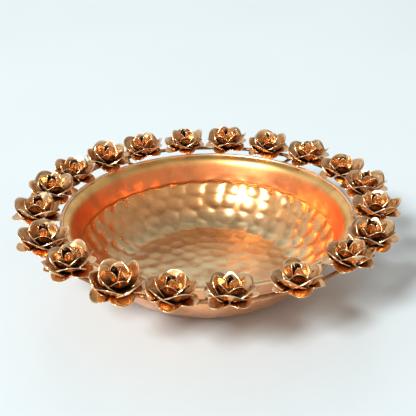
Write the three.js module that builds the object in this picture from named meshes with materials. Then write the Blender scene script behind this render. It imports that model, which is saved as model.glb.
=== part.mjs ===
// A flower urli: a shallow metal bowl for floating candles, inside a wire hoop with sheet-metal roses.
// The bowl is spun from one disc of sheet. It has a flat base, a rounded body, a small ledge where the
// body meets the neck, and a flared lip with its edge rolled into a bead. Short wire stays tie the hoop
// to the bead. A rose is stamped sheet on a pin: the lobes and wide petals are one piece, and the close
// petals round a bud are another.
// Units are millimetres and +Z is up. The origin is the middle of the base, on the surface it stands on.
import * as THREE from "three";

// Driving dimensions of the bowl. Radii and heights of the wall are those of the middle of its sheet.
const BOWL_SHEET = 1.2;
const BASE_RADIUS = 62;
const BODY_TOP = new THREE.Vector2(98.6, 30.8);
const NECK_BOTTOM = new THREE.Vector2(97.3, 32.4);
const NECK_TOP = new THREE.Vector2(103.2, 46);
const LIP_RADIUS = 112;
const LIP_HEIGHT = 53;
const BEAD_RADIUS = 1.5;
const BOWL_SIDES = 48;

// Driving dimensions of the hoop and of its stays. Angles are in degrees.
const HOOP_RADIUS = 127;
const HOOP_HEIGHT = 52;
const WIRE_RADIUS = 1.5;
const WIRE_SIDES = 6;
const HOOP_SIDES = 60;
const STAY_COUNT = 5;
const STAY_START = 53.5;

// Driving dimensions of a rose. Heights are above its seat, which is the foot of its pin on the hoop.
const ROSE_COUNT = 20;
const ROSE_START = 188.5;
const PETALS_IN_RING = 5;
const ROSE_SHEET = 0.8;
const PIN_RADIUS = 1.5;
const COLLAR_HEIGHT = 0.9;
const LOBE = { reach: 20, rise: 2.4, notch: 0.3, parts: 1 };
const WIDE_PETAL = { reach: 18, rise: 10, notch: 0.6, parts: 2 };
const CLOSE_PETAL = { reach: 11.4, rise: 10, notch: 0.7, parts: 1 };
const BUD_RADIUS = 3.6;
const BUD_HEIGHT = 17;
const SPIN_STEP = 48.8;

// The roses are set by hand: each stands a little off its even place, and leans along the hoop and outwards.
const PLACE_OFF = [
  -3.6, -4, -1.9, -1.3, -0.4, 0.3, 1, 2, 1.8, 1.4, 2.9, 3.2, 1.8, 3.6, 0, -2.4, -1, 0.2, -1, -1.5,
];
const LEAN_ALONG = [-3, 3, 4, 3, 8, 5, 4, 1, 2, -4, 1, 3, -3, 1, -2, -1, 2, 5, -1, 3];
const LEAN_OUT = [-2, -6, -7, -9, -2, -3, -4, -6, -2, -4, 1, -4, 0, -5, -8, -4, -2, 11, 3, -3];

// Room left between two pieces that are brazed together.
const JOINT_GAP = 0.3;

const metal = (color, roughness) => new THREE.MeshStandardMaterial({ color, roughness, metalness: 1 });
const BOWL_METAL = metal(0xd08a55, 0.28);
const WIRE_METAL = metal(0x8a5a3a, 0.4);
const PETAL_METAL = metal(0xa8754c, 0.42);
const HEART_METAL = metal(0xb8703c, 0.38);

const radians = THREE.MathUtils.degToRad;

// ---- helpers ----

function namedMesh(name, geometry, material) {
  const mesh = new THREE.Mesh(geometry, material);
  mesh.name = name;
  return mesh;
}

// A group that swings what stands on +X anticlockwise round the bowl's axis.
function turnedBy(degrees, child) {
  const group = new THREE.Group().add(child);
  group.rotation.z = radians(degrees);
  return group;
}

// A line at a fixed distance to the right of another, seen along it. A distance below zero is to the left.
function besideLine(line, distance) {
  return line.map((point, i) => {
    const before = line[Math.max(i - 1, 0)];
    const after = line[Math.min(i + 1, line.length - 1)];
    const along = after.clone().sub(before).normalize();
    return new THREE.Vector2(point.x + along.y * distance, point.y - along.x * distance);
  });
}

// A body round +Z whose outline changes as it goes round. Each section is an outline of
// Vector2(radius, height) that runs anticlockwise, and all have the same number of points.
function ringOfSections(sections) {
  const size = sections[0].length;
  const positions = [];
  const index = [];
  sections.forEach((section, j) => {
    const angle = (j / sections.length) * 2 * Math.PI;
    for (const { x, y } of section) positions.push(x * Math.cos(angle), x * Math.sin(angle), y);
    const here = j * size;
    const there = ((j + 1) % sections.length) * size;
    for (let i = 0; i < size; i++) {
      const next = (i + 1) % size;
      index.push(here + i, there + i, here + next);
      index.push(there + i, there + next, here + next);
    }
  });
  return new THREE.BufferGeometry()
    .setAttribute("position", new THREE.Float32BufferAttribute(positions, 3))
    .setIndex(index);
}

// ---- the bowl ----

function bowlMiddleLine() {
  const floor = BOWL_SHEET / 2;
  const beadCentre = new THREE.Vector2(LIP_RADIUS - BEAD_RADIUS, LIP_HEIGHT - BEAD_RADIUS);
  const line = new THREE.Path();
  line.moveTo(0, floor);
  line.lineTo(BASE_RADIUS, floor);
  line.bezierCurveTo(BASE_RADIUS + 12, floor, BODY_TOP.x - 8, 16.5, BODY_TOP.x, BODY_TOP.y);
  line.lineTo(NECK_BOTTOM.x, NECK_BOTTOM.y);
  line.lineTo(NECK_TOP.x, NECK_TOP.y);
  line.quadraticCurveTo(NECK_TOP.x + 2, NECK_TOP.y + 4.4, beadCentre.x, beadCentre.y);
  return line.getPoints(4);
}

function bowl() {
  const middle = bowlMiddleLine();
  const beadCentre = middle.pop();
  const outside = besideLine(middle, BOWL_SHEET / 2);
  const inside = besideLine(middle, -BOWL_SHEET / 2).reverse();
  const bead = new THREE.Path();
  bead.absarc(beadCentre.x, beadCentre.y, BEAD_RADIUS, radians(-135), radians(180), false);
  const outline = [...outside, ...bead.getPoints(7), ...inside];
  return namedMesh("bowl", new THREE.LatheGeometry(outline, BOWL_SIDES).rotateX(Math.PI / 2), BOWL_METAL);
}

// ---- the hoop and its stays ----

function flowerHoop() {
  const ring = new THREE.TorusGeometry(HOOP_RADIUS, WIRE_RADIUS, WIRE_SIDES, HOOP_SIDES);
  const hoop = namedMesh("flower_hoop", ring, WIRE_METAL);
  hoop.position.z = HOOP_HEIGHT;
  return hoop;
}

// A straight wire from the bowl's bead to the hoop.
function stay(number) {
  const start = LIP_RADIUS + JOINT_GAP;
  const end = HOOP_RADIUS - WIRE_RADIUS - JOINT_GAP;
  const wire = new THREE.CylinderGeometry(WIRE_RADIUS, WIRE_RADIUS, end - start, WIRE_SIDES);
  const mesh = namedMesh(`stay_${number}`, wire.rotateZ(Math.PI / 2), WIRE_METAL);
  mesh.position.set((start + end) / 2, 0, LIP_HEIGHT - BEAD_RADIUS);
  return turnedBy(STAY_START - ((number - 1) * 360) / STAY_COUNT, mesh);
}

// ---- the roses ----

// How far a petal reaches at a step round its ring, as a share of its full length, least at the notches.
function shareOfReach({ notch }, step, stepsPerPetal) {
  const across = (step % stepsPerPetal) / stepsPerPetal;
  return notch + (1 - notch) * Math.sqrt(Math.sin(Math.PI * across));
}

// The under side of a petal from its root outwards, and then its upper side back again.
// The parts are the straight lengths that its bend is divided into.
function petalSection({ reach, rise, parts }, root, share) {
  const bend = new THREE.Vector2(root.x + (reach - root.x) * 0.8, root.y);
  const under = new THREE.QuadraticBezierCurve(root, bend, new THREE.Vector2(reach, root.y + rise));
  const line = [root];
  for (let part = 1; part <= parts; part++) line.push(under.getPoint((share * part) / parts));
  return [...line.slice(1), ...besideLine(line, -ROSE_SHEET).slice(1).reverse()];
}

// The bottom lobes and the wide petals above them share one collar round the pin.
function petals() {
  const stepsPerPetal = 4;
  const hole = PIN_RADIUS + JOINT_GAP;
  const top = COLLAR_HEIGHT + 2.5 * ROSE_SHEET;
  const lobeRoot = new THREE.Vector2(hole + 1, COLLAR_HEIGHT);
  const petalRoot = new THREE.Vector2(hole + 1, top - ROSE_SHEET);
  const sections = [];
  for (let step = 0; step < PETALS_IN_RING * stepsPerPetal; step++) {
    const lobeShare = shareOfReach(LOBE, step, stepsPerPetal);
    const petalShare = shareOfReach(WIDE_PETAL, step + stepsPerPetal / 2, stepsPerPetal);
    sections.push([
      new THREE.Vector2(hole, COLLAR_HEIGHT),
      ...petalSection(LOBE, lobeRoot, lobeShare),
      ...petalSection(WIDE_PETAL, petalRoot, petalShare),
      new THREE.Vector2(hole, top),
    ]);
  }
  return ringOfSections(sections);
}

// The close petals grow out of the foot of the bud, which stands on the pin.
function heart() {
  const stepsPerPetal = 3;
  const petalRoot = new THREE.Vector2(PIN_RADIUS, COLLAR_HEIGHT + 4 * ROSE_SHEET);
  const sections = [];
  for (let step = 0; step < PETALS_IN_RING * stepsPerPetal; step++) {
    const petalShare = shareOfReach(CLOSE_PETAL, step, stepsPerPetal);
    sections.push([
      new THREE.Vector2(0, 0),
      new THREE.Vector2(PIN_RADIUS, 0),
      petalRoot,
      ...petalSection(CLOSE_PETAL, petalRoot, petalShare),
      new THREE.Vector2(BUD_RADIUS, petalRoot.y + 3),
      new THREE.Vector2(BUD_RADIUS * 0.7, BUD_HEIGHT),
      new THREE.Vector2(0, BUD_HEIGHT),
    ]);
  }
  return ringOfSections(sections);
}

const PETALS = petals();
const HEART = heart();

function rose(number) {
  const label = `rose_${String(number).padStart(2, "0")}`;
  const bloom = new THREE.Group();
  bloom.add(namedMesh(`${label}_petals`, PETALS, PETAL_METAL));
  bloom.add(namedMesh(`${label}_heart`, HEART, HEART_METAL));
  bloom.rotation.z = radians(SPIN_STEP * number);
  const seat = new THREE.Group().add(bloom);
  seat.position.set(HOOP_RADIUS, 0, HOOP_HEIGHT + WIRE_RADIUS + JOINT_GAP);
  seat.rotation.set(radians(-LEAN_ALONG[number - 1]), radians(LEAN_OUT[number - 1]), 0);
  return turnedBy(ROSE_START - ((number - 1) * 360) / ROSE_COUNT + PLACE_OFF[number - 1], seat);
}

// ---- the whole urli ----

const urli = new THREE.Group();
urli.add(bowl(), flowerHoop());
for (let number = 1; number <= STAY_COUNT; number++) urli.add(stay(number));
for (let number = 1; number <= ROSE_COUNT; number++) urli.add(rose(number));

export default urli;
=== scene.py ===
"""A flower urli: a hammered and spun metal bowl in a wire hoop of brazed roses, on a pale table."""

import math
from random import Random
from typing import NamedTuple

import bpy
import numpy as np
from bpy.props import FloatProperty, FloatVectorProperty, PointerProperty
from mathutils import Matrix, Vector


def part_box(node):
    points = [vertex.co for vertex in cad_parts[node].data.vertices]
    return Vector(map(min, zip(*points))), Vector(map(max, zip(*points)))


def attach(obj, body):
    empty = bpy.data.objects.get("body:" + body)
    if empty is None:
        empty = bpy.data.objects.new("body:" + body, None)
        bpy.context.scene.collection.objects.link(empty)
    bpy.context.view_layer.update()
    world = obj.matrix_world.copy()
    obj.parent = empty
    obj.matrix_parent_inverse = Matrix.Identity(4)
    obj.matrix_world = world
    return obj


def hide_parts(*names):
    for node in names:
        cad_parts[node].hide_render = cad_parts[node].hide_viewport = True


bl_info = {
    "name": "Flower urli",
    "version": (1, 0, 0),
    "blender": (4, 5, 0),
    "location": "View3D > Sidebar > Urli",
    "description": "Builds a hammered metal urli bowl with a hoop of sheet-metal roses",
    "category": "Add Mesh",
}

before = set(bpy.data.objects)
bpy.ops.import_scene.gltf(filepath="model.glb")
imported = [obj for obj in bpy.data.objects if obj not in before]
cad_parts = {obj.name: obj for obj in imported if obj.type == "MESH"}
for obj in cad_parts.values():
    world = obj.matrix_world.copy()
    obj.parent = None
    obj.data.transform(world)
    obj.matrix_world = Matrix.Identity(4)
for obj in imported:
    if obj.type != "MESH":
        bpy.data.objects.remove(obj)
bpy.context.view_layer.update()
BOWL_LOW, BOWL_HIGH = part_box("bowl")
HOOP_LOW, HOOP_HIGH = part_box("flower_hoop")
LIP_RADIUS = BOWL_HIGH.x
LIP_HEIGHT = BOWL_HIGH.z
STAY_NODES = sorted(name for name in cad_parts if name.startswith("stay_"))
HEART_NODES = sorted(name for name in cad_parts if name.endswith("_heart"))
PETALS_IN_RING = 5


# ---- settings ----


def length(name, description, default):
    """A length that a user can change, in metres."""
    return FloatProperty(
        name=name, description=description, default=default, min=0, unit="LENGTH", precision=5
    )


def degrees(name, description, default):
    """An angle that a user can change, with its default in degrees."""
    return FloatProperty(
        name=name, description=description, default=math.radians(default), subtype="ANGLE"
    )


def colour(name, description, default):
    """A metal colour that a user can change."""
    return FloatVectorProperty(
        name=name, description=description, default=default, size=3, min=0, max=1, subtype="COLOR"
    )


class UrliBowlSettings(bpy.types.PropertyGroup):
    """Sizes and colours of the bowl."""

    sheet: length("Sheet", "Thickness of the spun sheet", 0.0012)
    bead_radius: length("Bead radius", "Radius of the rolled edge of the lip", 0.0015)
    dimple_depth: length("Dimple depth", "Depth of a hammer mark", 0.00115)
    dimple_radius: length("Dimple radius", "Radius of a hammer mark", 0.0068)
    dimple_spacing: length("Dimple spacing", "From one hammer mark to the next round the body", 0.0165)
    lip_colour: colour("Lip", "Metal of the lip", (0.95, 0.57, 0.20))
    neck_colour: colour("Neck", "Metal of the inside of the neck", (0.94, 0.31, 0.11))
    body_colour: colour("Body", "Metal of the inside of the body", (0.93, 0.47, 0.19))
    floor_colour: colour("Floor", "Metal of the inside of the base", (0.98, 0.82, 0.48))
    outside_colour: colour("Outside", "Metal of the outside", (0.96, 0.46, 0.22))
    rubbed_colour: colour("Rubbed bead", "Metal where the bead is rubbed bright", (0.95, 0.70, 0.46))
    stain_colour: colour("Stains", "Metal that water has stained", (0.62, 0.36, 0.20))
    # Also the colour of the painted shade along the ledge and between the hammer marks.
    darkest_colour: colour("Tarnish", "Darkest tarnish of the bowl", (0.30, 0.13, 0.05))


class UrliWireSettings(bpy.types.PropertyGroup):
    """Sizes and colours of the hoop and its stays."""

    radius: length("Wire radius", "Radius of the drawn wire", 0.0015)
    wobble: length("Wobble", "How far the hoop strays from a true circle", 0.0002)
    colour: colour("Wire", "Metal of the wire", (0.42, 0.18, 0.075))
    darkest_colour: colour("Wire tarnish", "Darkest tarnish of the wire", (0.12, 0.05, 0.03))
    braze_colour: colour("Braze", "Metal of the brazed joints", (0.55, 0.36, 0.16))
    braze_tarnish_colour: colour("Braze tarnish", "Darkest tarnish of the braze", (0.09, 0.05, 0.03))


class UrliRoseSettings(bpy.types.PropertyGroup):
    """Sizes and colours of the roses."""

    sheet: length("Petal sheet", "Thickness of the stamped sheet", 0.0005)
    uneven: FloatProperty(
        name="Unevenness",
        description="How much petals differ in size and bend",
        default=0.08,
        min=0,
        max=0.3,
    )
    spin_step: degrees("Spin step", "Turn from one rose to the next", 48.8)
    bright: colour("Rubbed metal", "Metal where the finish is rubbed through", (0.98, 0.69, 0.41))
    outer: colour("Outer petals", "Antiqued metal of the outer petals", (0.77, 0.42, 0.19))
    inner: colour("Inner petals", "Antiqued metal of the inner petals", (0.90, 0.46, 0.18))
    # Near black: the roses' tarnish patches and their painted shade, at the petals' roots and on the pin.
    dark: colour("Hollows", "Dark finish left in the hollows", (0.022, 0.010, 0.008))


class UrliStageSettings(bpy.types.PropertyGroup):
    """The table, the lights and the camera."""

    table_colour: colour("Table", "Colour of the table", (0.69, 0.755, 0.785))
    cloud_colour: colour("Clouds", "Colour of the faint clouds in the table", (0.67, 0.735, 0.765))
    key_power: FloatProperty(
        name="Key light", description="Power of the main light", default=1700, min=0, unit="POWER"
    )
    elevation: degrees("Elevation", "Height of the camera", 26.47)
    roll: degrees("Roll", "Tilt of the camera", -0.93)
    distance: length("Distance", "From the camera to the middle of the lip", 0.6)
    lens: FloatProperty(
        name="Lens", description="Focal length", default=67.9, min=1, subtype="DISTANCE_CAMERA"
    )


# ---- meshes ----


def grid_faces(rows, columns, closed_rows=False, closed_columns=False):
    """Quads between the points of a grid, numbered row by row."""
    faces = []
    for row in range(rows if closed_rows else rows - 1):
        for column in range(columns if closed_columns else columns - 1):
            next_row = (row + 1) % rows
            next_column = (column + 1) % columns
            faces.append(
                (
                    row * columns + column,
                    row * columns + next_column,
                    next_row * columns + next_column,
                    next_row * columns + column,
                )
            )
    return faces


def make_piece(name, points, faces, material, place=Matrix(), **masks):
    """A smooth mesh object, already moved to its place. A mask has a number from 0 to 1 for each point."""
    mesh = bpy.data.meshes.new(name)
    mesh.from_pydata(np.asarray(points).tolist(), [], faces)
    mesh.transform(place)
    mesh.polygons.foreach_set("use_smooth", [True] * len(mesh.polygons))
    for mask_name, values in masks.items():
        attribute = mesh.attributes.new(mask_name, "FLOAT", "POINT")
        attribute.data.foreach_set("value", np.asarray(values, np.float32))
    mesh.materials.append(material)
    piece = bpy.data.objects.new(name, mesh)
    bpy.context.scene.collection.objects.link(piece)
    return piece


def settle(piece, slot, *nodes):
    """Fixes a piece to the bowl's one body and hides the CAD nodes that it stands for."""
    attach(piece, "root")
    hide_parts(*nodes)


def bezier(points, shares):
    """Points of a Bezier curve of any degree at these shares of its length."""
    shares = np.asarray(shares)[..., None]
    line = [np.asarray(point, float) + 0 * shares for point in points]
    while len(line) > 1:
        line = [a * (1 - shares) + b * shares for a, b in zip(line, line[1:])]
    return line[0]


def smooth_step(values, low, high):
    """0 below low, 1 above high, and an even rise between them."""
    share = np.clip((np.asarray(values) - low) / (high - low), 0, 1)
    return share * share * (3 - 2 * share)


def turned_points(outline, columns):
    """Points of an outline of (radius, height) turned round +Z, row by row."""
    angles = np.arange(columns) * 2 * math.pi / columns
    radii = outline[:, 0, None]
    heights = np.repeat(outline[:, 1, None], columns, axis=1)
    return np.stack([radii * np.cos(angles), radii * np.sin(angles), heights], axis=2).reshape(-1, 3)


def close_ends(faces, rows, columns):
    """Caps the first and the last row of a turned grid."""
    last = (rows - 1) * columns
    return faces + [tuple(reversed(range(columns))), tuple(range(last, last + columns))]


# ---- node trees ----


def add_node(tree, kind, options=(), **sockets):
    """A node with its options and sockets set. A socket takes a value or another node's output."""
    made = tree.nodes.new(kind)
    for option, value in dict(options).items():
        setattr(made, option, value)
    for name, value in sockets.items():
        set_socket(tree, made.inputs[name.replace("_", " ")], value)
    return made


def set_socket(tree, socket, value):
    """Links an output to a socket, or sets the socket's own value."""
    if isinstance(value, bpy.types.NodeSocket):
        tree.links.new(value, socket)
    elif socket.type == "RGBA" and len(value) == 3:
        socket.default_value = (*value, 1)
    else:
        socket.default_value = value


def calculate(tree, operation, *values, clamp=False):
    """The output of a Math node."""
    made = add_node(tree, "ShaderNodeMath", {"operation": operation, "use_clamp": clamp})
    for socket, value in zip(made.inputs, values):
        set_socket(tree, socket, value)
    return made.outputs[0]


def mix_colours(tree, share, first, second, blend="MIX"):
    """The output of a Mix node for colours."""
    made = add_node(tree, "ShaderNodeMix", {"data_type": "RGBA", "blend_type": blend})
    for index, value in ((0, share), (6, first), (7, second)):
        set_socket(tree, made.inputs[index], value)
    return made.outputs[2]


def spread(tree, value, low, high, new_low=0.0, new_high=1.0):
    """A value's range from low to high, stretched smoothly to a new one."""
    made = add_node(
        tree,
        "ShaderNodeMapRange",
        {"interpolation_type": "SMOOTHSTEP"},
        Value=value,
        From_Min=low,
        From_Max=high,
        To_Min=new_low,
        To_Max=new_high,
    )
    return made.outputs[0]


def noise(tree, place, scale, detail=4.0, roughness=0.55):
    """The value of a Noise Texture at a place."""
    made = add_node(
        tree, "ShaderNodeTexNoise", Vector=place, Scale=scale, Detail=detail, Roughness=roughness
    )
    return made.outputs["Fac"]


def mask(tree, name):
    """A mask painted on the mesh's points."""
    return add_node(tree, "ShaderNodeAttribute", {"attribute_name": name}).outputs["Fac"]


def new_group(name, inputs, outputs):
    """An empty shader node group with these sockets, and its two ends."""
    group = bpy.data.node_groups.new(name, "ShaderNodeTree")
    for socket, kind, value in inputs:
        made = group.interface.new_socket(socket, in_out="INPUT", socket_type=f"NodeSocket{kind}")
        if value is not None:
            made.default_value = value
    for socket, kind in outputs:
        group.interface.new_socket(socket, in_out="OUTPUT", socket_type=f"NodeSocket{kind}")
    return group, add_node(group, "NodeGroupInput").outputs, add_node(group, "NodeGroupOutput").inputs


def tarnish_and_shade_group():
    """Random patches of tarnish, plus the Hollow mask's darkening: painted shade on the bowl and roses."""
    group, given, result = new_group(
        "Tarnish",
        [
            ("Place", "Vector", None),
            ("Metal", "Color", (0.8, 0.5, 0.3, 1)),
            ("Dark", "Color", (0.1, 0.05, 0.02, 1)),
            ("Hollow", "Float", 0.0),
            ("Amount", "Float", 0.5),
            ("Patch Scale", "Float", 120.0),
        ],
        [("Colour", "Color"), ("Mask", "Float")],
    )
    patches = spread(group, noise(group, given["Place"], given["Patch Scale"], 6), 0.42, 0.72)
    patches = calculate(group, "MULTIPLY", patches, given["Amount"])
    # The Hollow mask darkens on top of the patches: painted shade on the bowl and the roses, darker joints
    # on the wire.
    covered = calculate(group, "MAXIMUM", given["Hollow"], patches, clamp=True)
    fine = noise(group, given["Place"], calculate(group, "MULTIPLY", given["Patch Scale"], 6.0), 3)
    covered = calculate(group, "MULTIPLY", covered, spread(group, fine, 0.2, 0.6, 0.75, 1.0), clamp=True)
    group.links.new(mix_colours(group, covered, given["Metal"], given["Dark"]), result["Colour"])
    group.links.new(covered, result["Mask"])
    return group


def rubbed_edge_group():
    """Where handling has rubbed the finish off the edges."""
    group, given, result = new_group(
        "Rubbed edge",
        [
            ("Place", "Vector", None),
            ("Edge", "Float", 0.0),
            ("Reach", "Float", 0.3),
            ("Grain Scale", "Float", 400.0),
        ],
        [("Mask", "Float")],
    )
    broken = spread(group, noise(group, given["Place"], given["Grain Scale"], 3), 0.3, 0.7, -0.25, 0.25)
    start = calculate(group, "SUBTRACT", 1.0, given["Reach"])
    ragged = calculate(group, "ADD", given["Edge"], calculate(group, "MULTIPLY", broken, given["Reach"]))
    group.links.new(spread(group, ragged, start, 1.0), result["Mask"])
    return group


def spin_line_group():
    """Fine rings that the spinning tool leaves, as a height, from the distance to the bowl's axis."""
    group, given, result = new_group(
        "Spin lines",
        [("Place", "Vector", None), ("Lines", "Float", 2500.0)],
        [("Height", "Float"), ("Mask", "Float")],
    )
    parts = add_node(group, "ShaderNodeSeparateXYZ", Vector=given["Place"]).outputs
    squares = [calculate(group, "MULTIPLY", parts[axis], parts[axis]) for axis in "XY"]
    radius = calculate(group, "SQRT", calculate(group, "ADD", *squares))
    turn = calculate(group, "MULTIPLY", calculate(group, "ARCTAN2", parts["Y"], parts["X"]), 0.002)
    ring = add_node(group, "ShaderNodeCombineXYZ", X=radius, Y=parts["Z"], Z=turn).outputs[0]
    lines = noise(group, ring, given["Lines"], 3, 0.7)
    group.links.new(lines, result["Height"])
    bands = noise(group, ring, calculate(group, "MULTIPLY", given["Lines"], 0.12), 3)
    group.links.new(spread(group, bands, 0.35, 0.65), result["Mask"])
    return group


def grain_group():
    """The fine unevenness of stamped or drawn metal, as a height."""
    group, given, result = new_group(
        "Sheet grain",
        [("Place", "Vector", None), ("Grain Scale", "Float", 900.0), ("Dent Scale", "Float", 150.0)],
        [("Height", "Float"), ("Smudge", "Float")],
    )
    fine = noise(group, given["Place"], given["Grain Scale"], 4, 0.65)
    dents = noise(group, given["Place"], given["Dent Scale"], 2, 0.4)
    height = calculate(group, "ADD", calculate(group, "MULTIPLY", fine, 0.3), dents)
    group.links.new(height, result["Height"])
    smudge = noise(group, given["Place"], calculate(group, "MULTIPLY", given["Dent Scale"], 0.6), 5, 0.6)
    group.links.new(spread(group, smudge, 0.35, 0.7), result["Smudge"])
    return group


def use_group(tree, group, **sockets):
    """Places a shared node group in a material and returns its outputs."""
    made = add_node(tree, "ShaderNodeGroup", {"node_tree": group})
    for name, value in sockets.items():
        set_socket(tree, made.inputs[name.replace("_", " ")], value)
    return made.outputs


def shared_group(build, name):
    """A node group that is built only once."""
    return bpy.data.node_groups.get(name) or build()


def new_metal(name):
    """An empty metal material: its node tree, its shader and the place on the object."""
    material = bpy.data.materials.new(name)
    material.use_nodes = True
    tree = material.node_tree
    shader = tree.nodes["Principled BSDF"]
    shader.inputs["Metallic"].default_value = 1.0
    place = add_node(tree, "ShaderNodeTexCoord").outputs["Object"]
    return material, tree, shader, place


def bump(tree, height, distance, strength=1.0):
    """The normal of a Bump node."""
    return add_node(tree, "ShaderNodeBump", Height=height, Distance=distance, Strength=strength).outputs[0]


def bowl_metal(settings):
    """Spun metal: golden lip and floor, redder neck, water stains low down, tarnish and painted shade."""
    material, tree, shader, place = new_metal("Urli bowl metal")
    height = add_node(tree, "ShaderNodeSeparateXYZ", Vector=place).outputs["Z"]
    share = calculate(tree, "DIVIDE", height, LIP_HEIGHT)
    ramp = add_node(tree, "ShaderNodeValToRGB", Fac=share)
    # Each metal's place up the inside, as a share of the bowl's height.
    stops = (
        (0.03, settings.floor_colour),
        (0.25, settings.body_colour),
        (0.57, settings.body_colour),
        (0.62, settings.neck_colour),
        (0.84, settings.neck_colour),
        (0.93, settings.lip_colour),
    )
    while len(ramp.color_ramp.elements) < len(stops):
        ramp.color_ramp.elements.new(0.5)
    for element, (position, stop_colour) in zip(ramp.color_ramp.elements, stops):
        element.position = position
        element.color = (*stop_colour, 1)
    stains = calculate(tree, "MULTIPLY", spread(tree, noise(tree, place, 30.0, 4), 0.42, 0.66), 0.45)
    low_down = spread(tree, share, 0.1, 0.5, 1.0, 0.0)
    stains = calculate(tree, "MULTIPLY", stains, low_down)
    inside_metal = mix_colours(tree, stains, ramp.outputs["Color"], settings.stain_colour)
    metal = mix_colours(tree, mask(tree, "inside"), settings.outside_colour, inside_metal)
    # The tarnish node group adds random tarnish and paints shade from the hollow mask, in the darkest
    # colour.
    tarnish = use_group(
        tree,
        shared_group(tarnish_and_shade_group, "Tarnish"),
        Place=place,
        Metal=metal,
        Dark=settings.darkest_colour,
        Hollow=calculate(tree, "MULTIPLY", mask(tree, "hollow"), 0.8),
        Amount=0.42,
        Patch_Scale=55.0,
    )
    spin = use_group(tree, shared_group(spin_line_group, "Spin lines"), Place=place)
    grain = use_group(tree, shared_group(grain_group, "Sheet grain"), Place=place, Dent_Scale=60.0)
    edge = use_group(
        tree,
        shared_group(rubbed_edge_group, "Rubbed edge"),
        Place=place,
        Edge=mask(tree, "edge"),
        Reach=0.5,
    )
    finished = mix_colours(tree, edge["Mask"], tarnish["Colour"], settings.rubbed_colour)
    set_socket(tree, shader.inputs["Base Color"], finished)
    # The floor and the neck are duller than the body, and so are the tool's bands, tarnish and painted
    # shade.
    roughness = spread(tree, grain["Smudge"], 0, 1, 0.19, 0.27)
    roughness = calculate(tree, "ADD", roughness, spread(tree, share, 0.02, 0.3, 0.06, 0.0))
    roughness = calculate(tree, "ADD", roughness, spread(tree, share, 0.56, 0.64, 0.0, 0.08))
    roughness = calculate(tree, "ADD", roughness, calculate(tree, "MULTIPLY", spin["Mask"], 0.05))
    roughness = calculate(tree, "ADD", roughness, calculate(tree, "MULTIPLY", tarnish["Mask"], 0.12))
    set_socket(tree, shader.inputs["Roughness"], roughness)
    lines = calculate(tree, "MULTIPLY", spin["Height"], 0.25)
    surface = calculate(tree, "ADD", lines, grain["Height"])
    set_socket(tree, shader.inputs["Normal"], bump(tree, surface, 0.0001, 0.55))
    return material


def wire_metal(settings):
    """Drawn wire, browned by the brazing torch."""
    material, tree, shader, place = new_metal("Urli wire metal")
    tarnish = use_group(
        tree,
        shared_group(tarnish_and_shade_group, "Tarnish"),
        Place=place,
        Metal=settings.colour,
        Dark=settings.darkest_colour,
        Hollow=calculate(tree, "MULTIPLY", mask(tree, "hollow"), 0.6),
        Amount=0.6,
        Patch_Scale=110.0,
    )
    grain = use_group(tree, shared_group(grain_group, "Sheet grain"), Place=place, Dent_Scale=220.0)
    set_socket(tree, shader.inputs["Base Color"], tarnish["Colour"])
    set_socket(tree, shader.inputs["Roughness"], spread(tree, grain["Smudge"], 0, 1, 0.26, 0.45))
    set_socket(tree, shader.inputs["Normal"], bump(tree, grain["Height"], 0.0002, 0.5))
    return material


def braze_metal(settings):
    """Brazing that has flowed and set, dull and pitted."""
    material, tree, shader, place = new_metal("Urli braze")
    tarnish = use_group(
        tree,
        shared_group(tarnish_and_shade_group, "Tarnish"),
        Place=place,
        Metal=settings.braze_colour,
        Dark=settings.braze_tarnish_colour,
        Amount=0.8,
        Patch_Scale=380.0,
    )
    grain = use_group(
        tree, shared_group(grain_group, "Sheet grain"), Place=place, Grain_Scale=2200.0, Dent_Scale=600.0
    )
    set_socket(tree, shader.inputs["Base Color"], tarnish["Colour"])
    set_socket(tree, shader.inputs["Roughness"], spread(tree, grain["Smudge"], 0, 1, 0.38, 0.62))
    set_socket(tree, shader.inputs["Normal"], bump(tree, grain["Height"], 0.0003, 0.8))
    return material


def petal_metal(name, settings, metal, amount):
    """Antiqued sheet: painted shade where petals cover each other, and rubbed bright along the petals'
    edges.
    """
    material, tree, shader, place = new_metal(name)
    # The tarnish node group adds random tarnish and paints shade from the hollow mask, in the dark colour.
    tarnish = use_group(
        tree,
        shared_group(tarnish_and_shade_group, "Tarnish"),
        Place=place,
        Metal=metal,
        Dark=settings.dark,
        Hollow=mask(tree, "hollow"),
        Amount=amount,
        Patch_Scale=130.0,
    )
    edge = use_group(
        tree,
        shared_group(rubbed_edge_group, "Rubbed edge"),
        Place=place,
        Edge=mask(tree, "edge"),
        Reach=0.42,
    )
    grain = use_group(tree, shared_group(grain_group, "Sheet grain"), Place=place)
    high_spots = calculate(tree, "MULTIPLY", grain["Smudge"], 0.35)
    worn = calculate(tree, "MAXIMUM", edge["Mask"], high_spots, clamp=True)
    worn = calculate(tree, "MULTIPLY", worn, calculate(tree, "SUBTRACT", 1.0, mask(tree, "hollow")))
    finished = mix_colours(tree, worn, tarnish["Colour"], settings.bright)
    set_socket(tree, shader.inputs["Base Color"], finished)
    roughness = spread(tree, tarnish["Mask"], 0, 1, 0.17, 0.38)
    roughness = calculate(tree, "ADD", roughness, calculate(tree, "MULTIPLY", grain["Smudge"], 0.07))
    set_socket(tree, shader.inputs["Roughness"], roughness)
    set_socket(tree, shader.inputs["Normal"], bump(tree, grain["Height"], 0.0003, 0.6))
    return material


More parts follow.
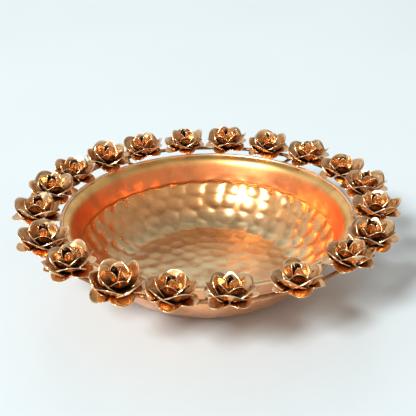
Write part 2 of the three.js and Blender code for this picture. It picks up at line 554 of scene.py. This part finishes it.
def table_finish(settings):
    """A pale, slightly glossy table top."""
    material = bpy.data.materials.new("Pale table")
    material.use_nodes = True
    tree = material.node_tree
    shader = tree.nodes["Principled BSDF"]
    place = add_node(tree, "ShaderNodeTexCoord").outputs["Object"]
    clouds = noise(tree, place, 3.0, 3)
    shade = mix_colours(tree, spread(tree, clouds, 0.3, 0.7), settings.table_colour, settings.cloud_colour)
    set_socket(tree, shader.inputs["Base Color"], shade)
    set_socket(tree, shader.inputs["Roughness"], spread(tree, clouds, 0.3, 0.7, 0.22, 0.27))
    set_socket(tree, shader.inputs["Normal"], bump(tree, noise(tree, place, 900.0, 3), 0.0001, 0.15))
    return material


# ---- the bowl ----

BASE_RADIUS = 0.062
BODY_TOP = (0.0986, 0.0308)
NECK_BOTTOM = (0.0973, 0.0324)
NECK_TOP = (0.1032, 0.046)
HAMMERED_RING_SPACING = 0.0118
HAMMER_REACH = 1.6
RIDGE_SOFTNESS = 0.00011
BOWL_COLUMNS = 384


def beside(line, distance):
    """A line at a fixed distance to the right of another, seen along it."""
    along = np.gradient(line, axis=0)
    along /= np.linalg.norm(along, axis=1)[:, None]
    return line + distance * np.stack([along[:, 1], -along[:, 0]], axis=1)


def bowl_middle_line(settings):
    """The middle of the sheet from the bowl's axis to the middle of the bead, as (radius, height)."""
    floor = settings.sheet / 2
    bead_middle = (LIP_RADIUS - settings.bead_radius, LIP_HEIGHT - settings.bead_radius)
    body = [(BASE_RADIUS, floor), (BASE_RADIUS + 0.012, floor), (BODY_TOP[0] - 0.008, 0.0165), BODY_TOP]
    lip = [NECK_TOP, (NECK_TOP[0] + 0.002, NECK_TOP[1] + 0.0044), bead_middle]
    return np.concatenate(
        [
            bezier([(0.0004, floor), (BASE_RADIUS, floor)], np.linspace(0, 1, 46, endpoint=False)),
            bezier(body, np.linspace(0, 1, 44, endpoint=False)),
            bezier([BODY_TOP, NECK_BOTTOM], np.linspace(0, 1, 3, endpoint=False)),
            bezier([NECK_BOTTOM, NECK_TOP], np.linspace(0, 1, 12, endpoint=False)),
            bezier(lip, np.linspace(0, 1, 13)),
        ]
    )


def rounded(line, passes):
    """The same line with its corners eased."""
    for _ in range(passes):
        line = line.copy()
        line[1:-1] = 0.25 * line[:-2] + 0.5 * line[1:-1] + 0.25 * line[2:]
    return line


def hammer_marks(inside, settings, rng):
    """Middles, radii and depths of the hammer marks, in staggered rings out to the top of the body."""
    walked = np.concatenate([[0], np.cumsum(np.linalg.norm(np.diff(inside, axis=0), axis=1))])
    top = walked[np.argmax(inside[:, 1] > BODY_TOP[1] - 0.0008)] - 0.5 * HAMMERED_RING_SPACING
    rings = round(top / HAMMERED_RING_SPACING)
    marks = []
    for ring in range(rings + 1):
        along = top * ring / rings
        radius = np.interp(along, walked, inside[:, 0])
        height = np.interp(along, walked, inside[:, 1])
        on_body = smooth_step(radius, BASE_RADIUS * 0.8, BASE_RADIUS * 1.2)
        gap = settings.dimple_spacing * (0.78 + 0.22 * on_body)
        count = max(1, round(2 * math.pi * radius / gap))
        for number in range(count):
            angle = (number + 0.5 * (ring % 2) + rng.uniform(-0.17, 0.17)) * 2 * math.pi / count
            drift = rng.uniform(-0.0014, 0.0014)
            size = settings.dimple_radius * (0.86 + 0.14 * on_body) * rng.uniform(0.85, 1.2)
            depth = settings.dimple_depth * (0.45 + 0.55 * on_body) * rng.uniform(0.65, 1.1)
            reach = radius + drift
            level = height + drift * on_body
            marks.append((reach * math.cos(angle), reach * math.sin(angle), level, size, depth))
    return marks


def hammer(points, marks):
    """How far the hammer has driven each point out, with soft ridges left between the marks."""
    total = np.ones(len(points))
    for x, y, z, size, depth in marks:
        beside_mark = np.abs(points[:, :2] - (x, y)) < HAMMER_REACH * size
        near = np.flatnonzero(beside_mark.all(axis=1))
        apart = np.linalg.norm(points[near] - (x, y, z), axis=1) / size
        total[near] += np.exp(depth * (1 - apart**2) / RIDGE_SOFTNESS) * (apart < HAMMER_REACH)
    return RIDGE_SOFTNESS * np.log(total)


def build_bowl(settings):
    """The bowl as one closed sheet: its inside, its bead and its outside."""
    rng = Random(11)
    middle = rounded(bowl_middle_line(settings), 1)
    bead_middle = middle[-1]
    inside = beside(middle[:-1], -settings.sheet / 2)
    outside = beside(middle[:-1:2], settings.sheet / 2)[::-1]
    bead_angles = np.radians(np.linspace(175, -130, 18))
    bead = bead_middle + settings.bead_radius * np.stack([np.cos(bead_angles), np.sin(bead_angles)], axis=1)
    outline = np.concatenate([inside, bead, outside])
    points = turned_points(outline, BOWL_COLUMNS)
    row = np.repeat(np.arange(len(outline)), BOWL_COLUMNS)
    is_inside = row < len(inside)
    on_bead = ~is_inside & (row < len(inside) + len(bead))

    # The marks are deep inside and fade out over the foot of the neck. Outside they are faint, and the
    # base has none.
    driven = hammer(points, hammer_marks(inside, settings, rng))
    height = points[:, 2]
    angle = np.arctan2(points[:, 1], points[:, 0])
    below_neck = 1 - smooth_step(height, BODY_TOP[1] + 0.0002, BODY_TOP[1] + 0.0042)
    off_base = smooth_step(height, 0.0015, 0.008)
    swell = 0.00022 * (1 + np.sin(29 * angle + 1.2 * np.sin(3 * angle)))
    swell *= np.exp(-(((height - BODY_TOP[1] - 0.0035) / 0.0032) ** 2))
    sink = np.where(is_inside, driven * below_neck + swell, 0.4 * driven * below_neck * off_base)
    sink[on_bead] = 0
    ledge_wave = np.sin(37 * angle + 1.5 * np.sin(5 * angle))
    ledge_wave *= np.exp(-(((height - BODY_TOP[1]) / 0.003) ** 2))
    away = beside(outline, 1) - outline
    away[len(inside) :] *= -1
    push = np.repeat(away, BOWL_COLUMNS, axis=0) * sink[:, None]
    points[:, :2] += push[:, :1] * np.stack([np.cos(angle), np.sin(angle)], axis=1)
    points[:, 2] += push[:, 1] + 0.0010 * ledge_wave * is_inside

    # The hollow mask is painted shade: a dark line along the ledge, and darker ridges between the hammer
    # marks.
    deepness = np.clip(driven / settings.dimple_depth, 0, 1) * below_neck
    at_ledge = 1 - smooth_step(np.abs(height - BODY_TOP[1] - 0.0004), 0.0, 0.0020)
    faces = grid_faces(len(outline), BOWL_COLUMNS, closed_columns=True)
    bowl = make_piece(
        "urli_bowl",
        points,
        close_ends(faces, len(outline), BOWL_COLUMNS),
        bowl_metal(settings),
        inside=is_inside,
        hollow=np.maximum(0.3 * (1 - deepness) * below_neck, at_ledge) * is_inside,
        edge=on_bead,
    )
    settle(bowl, "bowl", "bowl")


# ---- the hoop and its stays ----

HOOP_COLUMNS = 480
WIRE_SIDES = 16
HOOP_JOINT_ANGLE = 1.35
HOOP_JOINT_SPREAD = 0.0022
STAY_BRAZE = (0.0013, 0.0023, 0.0013)
ROSE_BRAZE = (0.0026, 0.0022, 0.0011)


def build_hoop(settings):
    """The hoop, bent from one wire and butt-brazed behind."""
    radius = HOOP_HIGH.x - settings.radius
    height = (HOOP_LOW.z + HOOP_HIGH.z) / 2
    around = np.arange(HOOP_COLUMNS) * 2 * math.pi / HOOP_COLUMNS
    section = np.arange(WIRE_SIDES) * 2 * math.pi / WIRE_SIDES
    wobble = np.sin(3 * around + 1) + 0.6 * np.sin(7 * around) + 0.4 * np.sin(13 * around + 2)
    wobble *= settings.wobble
    joint = np.exp(-(((around - HOOP_JOINT_ANGLE) * radius / HOOP_JOINT_SPREAD) ** 2))
    thickness = settings.radius * (1 + 0.22 * joint)
    reach = radius + wobble[:, None] + thickness[:, None] * np.cos(section)
    level = height + 0.5 * wobble[:, None] + thickness[:, None] * np.sin(section)
    points = np.stack([reach * np.cos(around)[:, None], reach * np.sin(around)[:, None], level], axis=2)
    hoop = make_piece(
        "urli_flower_hoop",
        points.reshape(-1, 3),
        grid_faces(HOOP_COLUMNS, WIRE_SIDES, closed_rows=True, closed_columns=True),
        bpy.data.materials["Urli wire metal"],
        hollow=np.repeat(joint, WIRE_SIDES),
    )
    settle(hoop, "wire", "flower_hoop")


def brazed_lump(name, middle, size, rng, material):
    """A small uneven lump of braze, flattened where it has run out."""
    rows = 12
    columns = 18
    angles = np.arange(columns) * 2 * math.pi / columns
    tilts = np.linspace(-0.48, 0.48, rows) * math.pi
    phase = rng.uniform(0, 6)
    swell = 1 + 0.14 * np.sin(3 * angles + phase)[None, :] * np.cos(tilts)[:, None]
    swell += 0.08 * np.sin(5 * angles + 2 * phase)[None, :] * np.cos(2 * tilts)[:, None]
    flat = np.cos(tilts)[:, None] * swell
    points = np.stack(
        [
            size[0] * flat * np.cos(angles),
            size[1] * flat * np.sin(angles),
            size[2] * np.repeat(np.sin(tilts)[:, None], columns, axis=1),
        ],
        axis=2,
    ).reshape(-1, 3)
    faces = close_ends(grid_faces(rows, columns, closed_columns=True), rows, columns)
    return make_piece(name, points, faces, material, middle)


def build_stays(settings):
    """Straight wires from the bead to the hoop, with a lump of braze at each end."""
    rng = Random(23)
    wire = bpy.data.materials["Urli wire metal"]
    braze = bpy.data.materials["Urli braze"]
    for node in STAY_NODES:
        low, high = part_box(node)
        centre = (low + high) / 2
        turn = Matrix.Rotation(math.atan2(centre.y, centre.x), 4, "Z")
        start = LIP_RADIUS - settings.radius / 2
        end = HOOP_HIGH.x - 1.5 * settings.radius
        level = centre.z
        shares = np.linspace(0, 1, 15)
        flare = 1 + 0.35 * (np.exp(-((shares / 0.09) ** 2)) + np.exp(-(((1 - shares) / 0.09) ** 2)))
        outline = np.stack([settings.radius * 0.93 * flare, shares * (end - start)], axis=1)
        points = turned_points(outline, WIRE_SIDES)
        points = np.stack([points[:, 2] + start, points[:, 0], points[:, 1] + level], axis=1)
        faces = grid_faces(len(outline), WIRE_SIDES, closed_columns=True)
        faces = close_ends(faces, len(outline), WIRE_SIDES)
        hollow = np.repeat(np.clip(flare - 1, 0, 1) * 2, WIRE_SIDES)
        settle(make_piece(f"urli_{node}", points, faces, wire, turn, hollow=hollow), "wire", node)
        ends = (("lip", LIP_RADIUS + 0.0004), ("hoop", HOOP_HIGH.x - 2.1 * settings.radius))
        for end_name, reach in ends:
            middle = turn @ Matrix.Translation((reach, 0, level - 0.0003))
            lump = brazed_lump(f"urli_{node}_braze_{end_name}", middle, STAY_BRAZE, rng, braze)
            settle(lump, "wire", node)


# ---- the roses ----


class Petal(NamedTuple):
    """One petal's shape. Its line is Bezier points of (distance from the pin, height), root to tip."""

    line: tuple
    half_width: float
    root_share: float
    wrap: float
    cup: float
    curl: float
    overlap: float
    ripple: float
    # How far up from the root the petal is painted dark as shade, where the other layers cover it.
    covered: float


LOBE = Petal(
    line=((0.0012, 0.0011), (0.0145, 0.0028), (0.0200, 0.0009)),
    half_width=0.0086,
    root_share=0.4,
    wrap=2.2,
    cup=0.0006,
    curl=-0.0003,
    overlap=0.0,
    ripple=0.0003,
    covered=0.36,
)
WIDE = Petal(
    line=((0.0012, 0.0024), (0.0144, 0.0004), (0.0162, 0.0132)),
    half_width=0.0140,
    root_share=0.3,
    wrap=1.05,
    cup=0.0,
    curl=0.0016,
    overlap=0.0014,
    ripple=0.0004,
    covered=0.52,
)
MIDDLE = Petal(
    line=((0.0012, 0.0036), (0.0104, 0.0030), (0.0098, 0.0154)),
    half_width=0.0090,
    root_share=0.35,
    wrap=1.0,
    cup=0.0,
    curl=0.0012,
    overlap=0.0011,
    ripple=0.0003,
    covered=0.58,
)
BUD = Petal(
    line=((0.0010, 0.0048), (0.0062, 0.0066), (0.0026, 0.0168)),
    half_width=0.0052,
    root_share=0.5,
    wrap=0.85,
    cup=0.0,
    curl=0.0006,
    overlap=0.0008,
    ripple=0.0001,
    covered=0.35,
)
PETAL_STEPS = 11

# Each rose's size beside the stamping's own, in the order of their numbers.
ROSE_SIZES = (
    (1.03, 1.02, 0.98, 1.02, 0.97, 0.97, 1.01, 1.00, 1.01, 1.00)
    + (1.02, 1.01, 0.97, 0.96, 0.96, 0.96, 0.95, 1.01, 0.99, 1.00)
)


def petal_grid():
    """A square grid of points spread over a rounded petal blank, row by row and closest at its rim."""
    spaced = np.sin(np.linspace(-1, 1, PETAL_STEPS) * math.pi / 2)
    across, up = np.meshgrid(spaced, spaced)
    to_rim = np.maximum(np.abs(across), np.abs(up))
    roundness = 0.66
    across, up = across * np.sqrt(1 - roundness * up**2), up * np.sqrt(1 - roundness * across**2)
    return across.ravel(), up.ravel(), to_rim.ravel()


def petal_points(petal, angle, uneven, rng):
    """A petal's points round the pin, with its masks of edge and hollow."""
    across, up, to_rim = petal_grid()
    share = (up + 1) / 2
    free = smooth_step(share, 0.2, 0.55)
    rim = smooth_step(to_rim, 0.66, 1.0) * free

    grow = 1 + rng.uniform(-uneven, uneven)
    rise = 1 + rng.uniform(-2.2, 0.6) * uneven
    line = [np.array(petal.line[0])]
    for reach, height in petal.line[1:]:
        line.append(np.array([reach * min(grow, 1.01), line[0][1] + (height - line[0][1]) * rise]))
    run = bezier(line, share)
    narrow = petal.root_share + (1 - petal.root_share) * smooth_step(share, 0.0, 0.6)
    side = petal.half_width * grow * across * narrow

    bend = np.maximum(petal.wrap * run[:, 0], 0.0026)
    phase = rng.uniform(0, 2 * math.pi)
    waves = petal.ripple * np.sin(3 * np.arctan2(up, across) + phase) * rim
    curl = petal.curl * rng.uniform(0.5, 1.5) * rim
    under = petal.overlap * rng.uniform(0.8, 1.2) * across * smooth_step(share, 0.1, 0.5)
    out = run[:, 0] - bend + bend * np.cos(side / bend) + 0.85 * under + curl + waves
    along = bend * np.sin(side / bend)
    height = run[:, 1] + petal.cup * across**2 - 0.5 * under - 0.5 * curl + waves

    turn = angle + rng.uniform(-0.5, 0.5) * uneven
    x = out * math.cos(turn) - along * math.sin(turn)
    y = out * math.sin(turn) + along * math.cos(turn)
    points = np.stack([x, y, height], axis=1)
    edge = smooth_step(to_rim, 0.55, 1.0) * smooth_step(share, 0.12, 0.4)
    # The hollow mask is painted shade: full at the petal's root, fading out further up.
    hollow = 1 - smooth_step(share, petal.covered * 0.45, petal.covered * 1.25)
    return points, edge, hollow


def build_petal_ring(name, petal, count, turn, place, material, settings, rng):
    """One stamped layer of a rose: its petals meet at the pin."""
    points = []
    edges = []
    hollows = []
    faces = []
    for number in range(count):
        made, edge, hollow = petal_points(petal, turn + number * 2 * math.pi / count, settings.uneven, rng)
        first = number * PETAL_STEPS**2
        faces += [tuple(first + index for index in face) for face in grid_faces(PETAL_STEPS, PETAL_STEPS)]
        points.append(made)
        edges.append(edge)
        hollows.append(hollow)
    ring = make_piece(
        name,
        np.concatenate(points),
        faces,
        material,
        place,
        edge=np.concatenate(edges),
        hollow=np.concatenate(hollows),
    )
    thick = ring.modifiers.new("Sheet", "SOLIDIFY")
    thick.thickness = settings.sheet
    thick.offset = 0
    rounding = ring.modifiers.new("Rounding", "SUBSURF")
    rounding.levels = 1
    rounding.render_levels = 1
    return ring


def rose_place(node, spin, size):
    """Where a rose stands and how it leans, from the foot and the top of its CAD heart."""
    points = np.array([vertex.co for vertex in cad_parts[node].data.vertices])
    low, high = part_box(node)
    foot = Vector(points[points[:, 2] < low.z + 0.001].mean(axis=0))
    top = Vector(points[points[:, 2] > high.z - 0.001].mean(axis=0))
    up = (top - foot).normalized()
    side = up.cross(Vector((foot.x, foot.y, 0))).normalized()
    turn = Matrix((side.cross(up), side, up)).transposed().to_4x4()
    return Matrix.Translation(foot) @ turn @ Matrix.Rotation(spin, 4, "Z") @ Matrix.Scale(size, 4)


# The outline of a rose's pin and its head, as (radius, height).
PIN_OUTLINE = (
    (0.0003, -0.0004),
    (0.0012, -0.0003),
    (0.0012, 0.0020),
    (0.0011, 0.0060),
    (0.0011, 0.0142),
    (0.0014, 0.0145),
    (0.0016, 0.0151),
    (0.0015, 0.0158),
    (0.0010, 0.0163),
    (0.0003, 0.0165),
)


def build_pin(name, place, material):
    """The pin through a rose, painted near black all over as the shade deep in the bud."""
    points = turned_points(np.array(PIN_OUTLINE), WIRE_SIDES)
    faces = grid_faces(len(PIN_OUTLINE), WIRE_SIDES, closed_columns=True)
    faces = close_ends(faces, len(PIN_OUTLINE), WIRE_SIDES)
    # A hollow mask of 1 all over paints the whole pin as shade.
    return make_piece(name, points, faces, material, place, hollow=np.ones(len(points)))


def build_rose(number, heart, settings):
    """A rose: four layers of petals on a pin, brazed to the hoop."""
    rng = Random(100 + number)
    petals = heart.replace("_heart", "_petals")
    label = heart.replace("_heart", "")
    place = rose_place(heart, settings.spin_step * number, ROSE_SIZES[number - 1])
    outer = bpy.data.materials["Urli outer petals"]
    inner = bpy.data.materials["Urli inner petals"]
    half_step = math.pi / PETALS_IN_RING
    layers = (
        ("lobes", LOBE, PETALS_IN_RING, half_step, outer, "petals", petals),
        ("wide_petals", WIDE, PETALS_IN_RING, 0.0, outer, "petals", petals),
        ("middle_petals", MIDDLE, PETALS_IN_RING, half_step, outer, "heart", heart),
        ("bud", BUD, 3, rng.uniform(0, 2), inner, "heart", heart),
    )
    for layer, petal, count, turn, material, slot, node in layers:
        ring = build_petal_ring(f"{label}_{layer}", petal, count, turn, place, material, settings, rng)
        settle(ring, slot, node)
    settle(build_pin(f"{label}_pin", place, inner), "heart", heart)
    middle = place @ Matrix.Translation((0, 0, -0.0002))
    braze = bpy.data.materials["Urli braze"]
    settle(brazed_lump(f"{label}_braze", middle, ROSE_BRAZE, rng, braze), "heart", heart)


# ---- the stage ----

TABLE_HALF = 6.0
ROOM_WALLS = (0.82, 0.88, 0.90)
ROOM_CEILING = (0.24, 0.21, 0.17)
SHADED_WALL = (0.26, 0.22, 0.20)
WARM_WALL = (0.62, 0.54, 0.46)
BACKDROP = (0.84, 0.92, 0.94)
KEY_PLACE = (-5.9, -6.6, 8.0)
KEY_SIZE = 3.0
KEY_TINT = (0.95, 0.99, 1.0)


def build_table(settings):
    """The pale table, wide enough to reach the horizon."""
    corners = [(x * TABLE_HALF, y * TABLE_HALF, 0) for x, y in ((-1, -1), (1, -1), (1, 1), (-1, 1))]
    table = make_piece("pale_table", corners, [(0, 1, 2, 3)], table_finish(settings))


def light_sky():
    """A soft pale room, dimmer overhead and on the right, with a warmer wall in front of the bowl.

    The camera sees an even backdrop in the room's place.
    """
    world = bpy.data.worlds.new("Soft room")
    bpy.context.scene.world = world
    world.use_nodes = True
    tree = world.node_tree
    looked = add_node(tree, "ShaderNodeTexCoord").outputs["Generated"]
    parts = add_node(tree, "ShaderNodeSeparateXYZ", Vector=looked).outputs
    overhead = spread(tree, parts["Z"], 0.55, 0.98)
    room = mix_colours(tree, overhead, ROOM_WALLS, ROOM_CEILING)
    to_the_right = calculate(tree, "MULTIPLY", spread(tree, parts["X"], 0.1, 0.8), 0.65)
    room = mix_colours(tree, to_the_right, room, SHADED_WALL)
    in_front = spread(tree, parts["Y"], 0.05, -0.55)
    raised = spread(tree, parts["Z"], 0.08, 0.3)
    warmed = calculate(tree, "MULTIPLY", calculate(tree, "MULTIPLY", in_front, raised), 0.6)
    room = mix_colours(tree, warmed, room, WARM_WALL)
    seen = add_node(tree, "ShaderNodeLightPath").outputs["Is Camera Ray"]
    room = mix_colours(tree, seen, room, BACKDROP)
    set_socket(tree, tree.nodes["Background"].inputs["Color"], room)


def add_light(name, place, size, power, tint):
    """A square soft light that faces the bowl."""
    lamp = bpy.data.lights.new(name, "AREA")
    lamp.size = size
    lamp.energy = power
    lamp.color = tint
    light = bpy.data.objects.new(name, lamp)
    light.location = place
    light.rotation_euler = (Vector((0, 0, LIP_HEIGHT)) - Vector(place)).to_track_quat("-Z", "Y").to_euler()
    bpy.context.scene.collection.objects.link(light)


def add_camera(settings):
    """The camera, aimed at the middle of the lip."""
    aim = Vector((0, 0, LIP_HEIGHT))
    back = Vector((0, -math.cos(settings.elevation), math.sin(settings.elevation)))
    camera_data = bpy.data.cameras.new("Camera")
    camera_data.lens = settings.lens
    camera_data.clip_start = 0.01
    camera_data.shift_x = 0.001
    camera_data.shift_y = 0.002
    camera = bpy.data.objects.new("Camera", camera_data)
    turn = back.to_track_quat("Z", "Y").to_matrix().to_4x4() @ Matrix.Rotation(settings.roll, 4, "Z")
    camera.matrix_world = Matrix.Translation(aim + back * settings.distance) @ turn
    bpy.context.scene.collection.objects.link(camera)
    bpy.context.scene.camera = camera


# ---- operators ----


class URLI_OT_bowl(bpy.types.Operator):
    """Spin the bowl and hammer its inside"""

    bl_idname = "urli.bowl"
    bl_label = "Bowl"

    def execute(self, context):
        build_bowl(context.scene.urli_bowl)
        return {"FINISHED"}


class URLI_OT_hoop(bpy.types.Operator):
    """Bend the flower hoop and braze its stays to the bowl"""

    bl_idname = "urli.hoop"
    bl_label = "Hoop and stays"

    def execute(self, context):
        settings = context.scene.urli_wire
        wire_metal(settings)
        braze_metal(settings)
        build_hoop(settings)
        build_stays(settings)
        return {"FINISHED"}


class URLI_OT_roses(bpy.types.Operator):
    """Stamp, bend and rivet the roses, and braze them to the hoop"""

    bl_idname = "urli.roses"
    bl_label = "Roses"

    def execute(self, context):
        settings = context.scene.urli_rose
        petal_metal("Urli outer petals", settings, settings.outer, 0.55)
        petal_metal("Urli inner petals", settings, settings.inner, 0.35)
        for number, heart in enumerate(HEART_NODES, start=1):
            build_rose(number, heart, settings)
        return {"FINISHED"}


class URLI_OT_stage(bpy.types.Operator):
    """Set up the table, the lights and the camera"""

    bl_idname = "urli.stage"
    bl_label = "Table, lights and camera"

    def execute(self, context):
        settings = context.scene.urli_stage
        build_table(settings)
        light_sky()
        add_light("Key", KEY_PLACE, KEY_SIZE, settings.key_power, KEY_TINT)
        add_camera(settings)
        context.scene.view_settings.view_transform = "Standard"
        return {"FINISHED"}


class URLI_PT_panel(bpy.types.Panel):
    """The urli's pieces and their settings"""

    bl_label = "Flower urli"
    bl_idname = "URLI_PT_panel"
    bl_space_type = "VIEW_3D"
    bl_region_type = "UI"
    bl_category = "Urli"

    def draw(self, context):
        for operator, group in STEPS:
            box = self.layout.box()
            box.operator(operator.bl_idname)
            settings = getattr(context.scene, group)
            for name in settings.bl_rna.properties.keys():
                if name not in ("rna_type", "name"):
                    box.prop(settings, name)


SETTINGS = {
    "urli_bowl": UrliBowlSettings,
    "urli_wire": UrliWireSettings,
    "urli_rose": UrliRoseSettings,
    "urli_stage": UrliStageSettings,
}
STEPS = (
    (URLI_OT_bowl, "urli_bowl"),
    (URLI_OT_hoop, "urli_wire"),
    (URLI_OT_roses, "urli_rose"),
    (URLI_OT_stage, "urli_stage"),
)
CLASSES = (*SETTINGS.values(), *(operator for operator, _ in STEPS), URLI_PT_panel)


def register():
    """Adds the classes and the scene's settings."""
    for cls in CLASSES:
        bpy.utils.register_class(cls)
    for name, cls in SETTINGS.items():
        setattr(bpy.types.Scene, name, PointerProperty(type=cls))


def unregister():
    """Takes the settings and the classes away again."""
    for name in SETTINGS:
        delattr(bpy.types.Scene, name)
    for cls in reversed(CLASSES):
        bpy.utils.unregister_class(cls)


def main():
    """Builds everything."""
    register()
    bpy.ops.urli.stage()
    bpy.ops.urli.bowl()
    bpy.ops.urli.hoop()
    bpy.ops.urli.roses()


if __name__ == "__main__":
    main()
